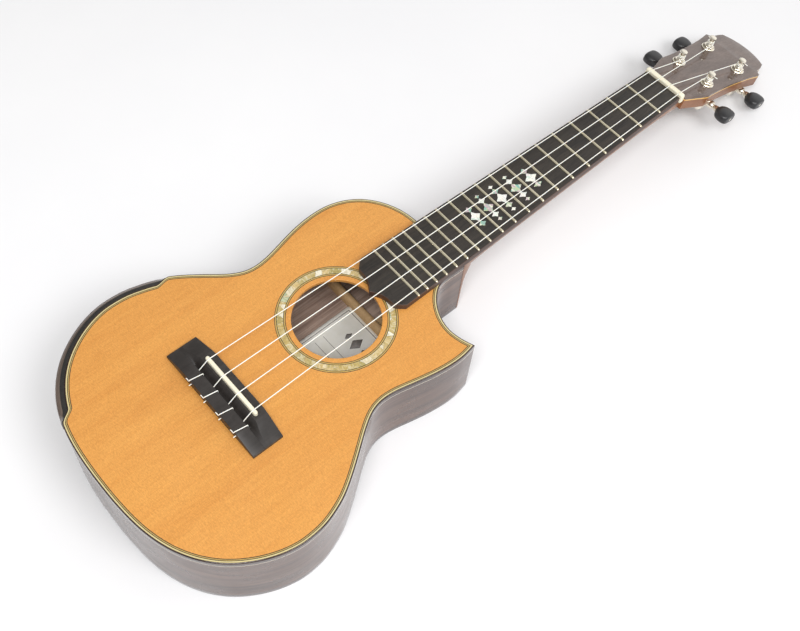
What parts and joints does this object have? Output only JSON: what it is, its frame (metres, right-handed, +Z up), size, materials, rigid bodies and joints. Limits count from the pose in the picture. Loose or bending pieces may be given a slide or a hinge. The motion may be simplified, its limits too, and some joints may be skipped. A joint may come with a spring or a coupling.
{
  "type": "tenor ukulele",
  "caption": "Small cutaway-bodied lute with fretted neck, tied bridge, tilted headstock and geared tuners that wind nylon strings; lies on its flat back.",
  "frame": {"origin": "on the floor plane of the flat back, under the middle of the whole instrument", "axes": "+Z up, out of the soundboard; +Y along the strings towards the headstock; +X towards the cutaway side"},
  "size_m": [0.2263, 0.6552, 0.0756],
  "materials": {
    "soundboard": "gloss",
    "side_wood": "gloss",
    "head_wood": "gloss",
    "neck_wood": "gloss",
    "brace_wood": "bare",
    "fretboard": "oiled",
    "black_wood": "satin",
    "edge_trim": "gloss",
    "shell": "gloss",
    "bone": "polished",
    "fret_metal": "polished",
    "tuner_metal": "plated",
    "button_plastic": "satin",
    "string": "smooth"
  },
  "bodies": {
    "body": {"arm_rest": "black_wood", "back": "side_wood", "back_binding": "side_wood", "back_bracing": "brace_wood", "bridge": "black_wood", "ferrule_1": "tuner_metal", "ferrule_2": "tuner_metal", "ferrule_3": "tuner_metal", "ferrule_4": "tuner_metal", "fret_01": "fret_metal", "fret_02": "fret_metal", "fret_03": "fret_metal", "fret_04": "fret_metal", "fret_05": "fret_metal", "fret_06": "fret_metal", "fret_07": "fret_metal", "fret_08": "fret_metal", "fret_09": "fret_metal", "fret_10": "fret_metal", "fret_11": "fret_metal", "fret_12": "fret_metal", "fret_13": "fret_metal", "fret_14": "fret_metal", "fret_15": "fret_metal", "fret_16": "fret_metal", "fret_17": "fret_metal", "fret_18": "fret_metal", "fret_19": "fret_metal", "fretboard": "fretboard", "headplate": "head_wood", "housing_1": "tuner_metal", "housing_2": "tuner_metal", "housing_3": "tuner_metal", "housing_4": "tuner_metal", "neck": "neck_wood", "nut": "bone", "rib_bass": "side_wood", "rib_treble": "side_wood", "rosette": "shell", "saddle": "bone", "soundboard": "soundboard", "string_1": "string", "string_2": "string", "string_3": "string", "string_4": "string", "tail_block": "neck_wood", "top_binding": "edge_trim", "top_bracing": "brace_wood"},
    "knob_1": {"button_1": "button_plastic", "worm_shaft_1": "tuner_metal"},
    "post_1": {"post_1": "tuner_metal"},
    "knob_2": {"button_2": "button_plastic", "worm_shaft_2": "tuner_metal"},
    "post_2": {"post_2": "tuner_metal"},
    "knob_3": {"button_3": "button_plastic", "worm_shaft_3": "tuner_metal"},
    "post_3": {"post_3": "tuner_metal"},
    "knob_4": {"button_4": "button_plastic", "worm_shaft_4": "tuner_metal"},
    "post_4": {"post_4": "tuner_metal"}
  },
  "joints": [
    {"name": "knob_turn_1", "type": "hinge", "parent": "body", "child": "knob_1", "pos_m": [-0.01465, 0.24959, 0.02601], "axis": [-1, 0, 0], "continuous": true},
    {"name": "post_turn_1", "type": "hinge", "parent": "body", "child": "post_1", "pos_m": [-0.01465, 0.24776, 0.04421], "axis": [0, 0.2885, 0.9575], "continuous": true},
    {"name": "knob_turn_2", "type": "hinge", "parent": "body", "child": "knob_2", "pos_m": [-0.01575, 0.29315, 0.01288], "axis": [-1, 0, 0], "continuous": true},
    {"name": "post_turn_2", "type": "hinge", "parent": "body", "child": "post_2", "pos_m": [-0.01575, 0.29133, 0.03108], "axis": [0, 0.2885, 0.9575], "continuous": true},
    {"name": "knob_turn_3", "type": "hinge", "parent": "body", "child": "knob_3", "pos_m": [0.01705, 0.29315, 0.01288], "axis": [1, 0, 0], "continuous": true},
    {"name": "post_turn_3", "type": "hinge", "parent": "body", "child": "post_3", "pos_m": [0.01705, 0.29133, 0.03108], "axis": [0, 0.2885, 0.9575], "continuous": true},
    {"name": "knob_turn_4", "type": "hinge", "parent": "body", "child": "knob_4", "pos_m": [0.01595, 0.24959, 0.02601], "axis": [1, 0, 0], "continuous": true},
    {"name": "post_turn_4", "type": "hinge", "parent": "body", "child": "post_4", "pos_m": [0.01595, 0.24776, 0.04421], "axis": [0, 0.2885, 0.9575], "continuous": true}
  ],
  "couplings": [
    {"joint": "post_turn_1", "follows": "knob_turn_1", "ratio": 0.071429},
    {"joint": "post_turn_2", "follows": "knob_turn_2", "ratio": 0.071429},
    {"joint": "post_turn_3", "follows": "knob_turn_3", "ratio": 0.071429},
    {"joint": "post_turn_4", "follows": "knob_turn_4", "ratio": 0.071429}
  ]
}
